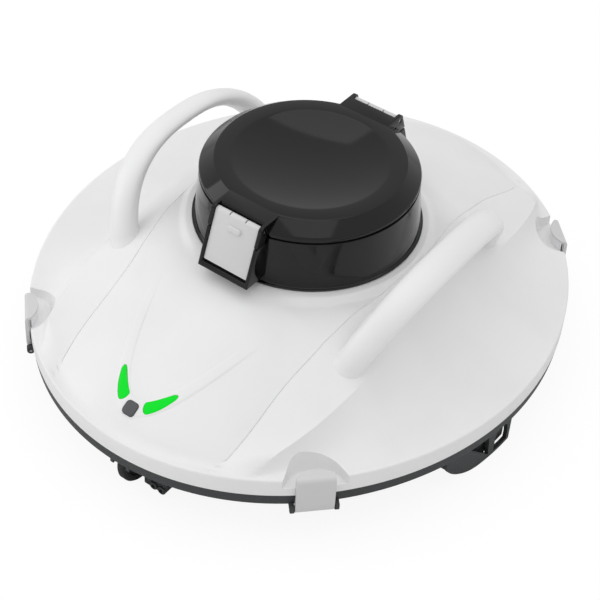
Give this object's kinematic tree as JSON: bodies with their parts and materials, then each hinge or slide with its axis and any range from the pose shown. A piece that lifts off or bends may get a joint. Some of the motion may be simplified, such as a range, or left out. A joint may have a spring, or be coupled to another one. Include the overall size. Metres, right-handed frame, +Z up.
{
  "type": "pool cleaner",
  "caption": "Oval cordless pool-floor cleaner: white shell with arched handles over a dark tray, round motor box with latches, lit V band, rim clips, wheels and suction inlets.",
  "frame": {"origin": "on the floor under the centre of the oval shell", "axes": "+Z up; -Y towards the front with the light band; +X to the object's left when seen from the front, +Y to the rear"},
  "size_m": [0.3794, 0.4244, 0.1603],
  "materials": {
    "white_shell": "satin moulded",
    "black_gloss": "high gloss",
    "dark_base": "fine moulded grain",
    "rubber": "matte",
    "steel": "plain",
    "green_lens": "clear light pipe",
    "board": "solder mask",
    "cell": "shrink wrap",
    "mesh": "woven filter cloth"
  },
  "bodies": {
    "body": {"top_shell": "white_shell", "handle_left": "white_shell", "handle_right": "white_shell", "light_lens_left": "green_lens", "light_lens_right": "green_lens", "light_board": "board", "motor_box_housing": "black_gloss", "motor_box_cap": "black_gloss", "cap_seal": "rubber", "latch_pin_front": "steel", "latch_pin_rear": "steel", "charge_socket": "dark_base", "circuit_board": "board", "battery_holder": "dark_base", "battery_cell_1": "cell", "battery_cell_2": "cell", "battery_cell_3": "cell", "battery_cell_4": "cell", "battery_cell_5": "cell", "battery_cell_6": "cell", "pump_motor": "steel", "shaft_seal": "rubber", "impeller_guard": "dark_base", "base_shell": "dark_base", "filter_tray": "white_shell", "filter_screen_front": "mesh", "filter_screen_rear": "mesh", "flap_pin_front": "steel", "flap_pin_rear": "steel", "clip_pin_front_left": "steel", "clip_pin_front_right": "steel", "clip_pin_rear_left": "steel", "clip_pin_rear_right": "steel", "front_wheel_axle": "steel", "rear_wheel_axle": "steel", "side_wheel_left_axle": "steel", "side_wheel_right_axle": "steel", "front_wheel_bracket": "dark_base", "rear_wheel_bracket": "dark_base", "side_guard_left": "dark_base", "side_guard_right": "dark_base"},
    "clip_front_right": {"rim_clip_front_right": "white_shell"},
    "clip_rear_right": {"rim_clip_rear_right": "white_shell"},
    "clip_rear_left": {"rim_clip_rear_left": "white_shell"},
    "clip_front_left": {"rim_clip_front_left": "white_shell"},
    "front_latch": {"latch_front": "white_shell"},
    "rear_latch": {"latch_rear": "white_shell"},
    "wheel_front": {"front_wheel": "rubber"},
    "wheel_rear": {"rear_wheel": "rubber"},
    "wheel_right": {"side_wheel_right": "rubber"},
    "wheel_left": {"side_wheel_left": "rubber"},
    "flap_front": {"suction_flap_front": "rubber"},
    "flap_rear": {"suction_flap_rear": "rubber"},
    "pump_rotor": {"impeller": "dark_base", "pump_shaft": "steel"},
    "button": {"power_button": "dark_base"},
    "charging_cap": {"charge_cap": "rubber"}
  },
  "joints": [
    {"name": "clip_front_right_hinge", "type": "hinge", "parent": "body", "child": "clip_front_right", "pos_m": [0.12671, -0.15748, 0.0297], "axis": [0.7013, 0.7129, 0], "range_deg": [0, 110]},
    {"name": "clip_rear_right_hinge", "type": "hinge", "parent": "body", "child": "clip_rear_right", "pos_m": [0.12671, 0.15748, 0.0297], "axis": [-0.7013, 0.7129, 0], "range_deg": [0, 110]},
    {"name": "clip_rear_left_hinge", "type": "hinge", "parent": "body", "child": "clip_rear_left", "pos_m": [-0.12671, 0.15748, 0.0297], "axis": [-0.7013, -0.7129, 0], "range_deg": [0, 110]},
    {"name": "clip_front_left_hinge", "type": "hinge", "parent": "body", "child": "clip_front_left", "pos_m": [-0.12671, -0.15748, 0.0297], "axis": [0.7013, -0.7129, 0], "range_deg": [0, 110]},
    {"name": "front_latch_hinge", "type": "hinge", "parent": "body", "child": "front_latch", "pos_m": [0, -0.0797, 0.1563], "axis": [-1, 0, 0], "range_deg": [0, 100]},
    {"name": "rear_latch_hinge", "type": "hinge", "parent": "body", "child": "rear_latch", "pos_m": [0, 0.0797, 0.1563], "axis": [1, 0, 0], "range_deg": [0, 100]},
    {"name": "front_wheel_spin", "type": "hinge", "parent": "body", "child": "wheel_front", "pos_m": [0.003, -0.186, 0.0225], "axis": [1, 0, 0], "continuous": true},
    {"name": "rear_wheel_spin", "type": "hinge", "parent": "body", "child": "wheel_rear", "pos_m": [-0.003, 0.186, 0.0225], "axis": [1, 0, 0], "continuous": true},
    {"name": "right_wheel_spin", "type": "hinge", "parent": "body", "child": "wheel_right", "pos_m": [0.1665, -0.03, 0.022], "axis": [1, 0, 0], "continuous": true},
    {"name": "left_wheel_spin", "type": "hinge", "parent": "body", "child": "wheel_left", "pos_m": [-0.1665, -0.03, 0.022], "axis": [1, 0, 0], "continuous": true},
    {"name": "front_flap_hinge", "type": "hinge", "parent": "body", "child": "flap_front", "pos_m": [0, -0.115, 0.0228], "axis": [1, 0, 0], "range_deg": [0, 45]},
    {"name": "rear_flap_hinge", "type": "hinge", "parent": "body", "child": "flap_rear", "pos_m": [0, 0.115, 0.0228], "axis": [-1, 0, 0], "range_deg": [0, 45]},
    {"name": "pump_spin", "type": "hinge", "parent": "body", "child": "pump_rotor", "pos_m": [0, 0, 0.0576], "axis": [0, 0, 1], "continuous": true},
    {"name": "button_press", "type": "slide", "parent": "body", "child": "button", "axis": [0, 0.4631, -0.8863], "range_m": [0, 0.001], "stiffness_N_per_m": 300},
    {"name": "charging_cap_pull", "type": "slide", "parent": "body", "child": "charging_cap", "axis": [-1, 0, 0], "range_m": [0, 0.012]}
  ]
}
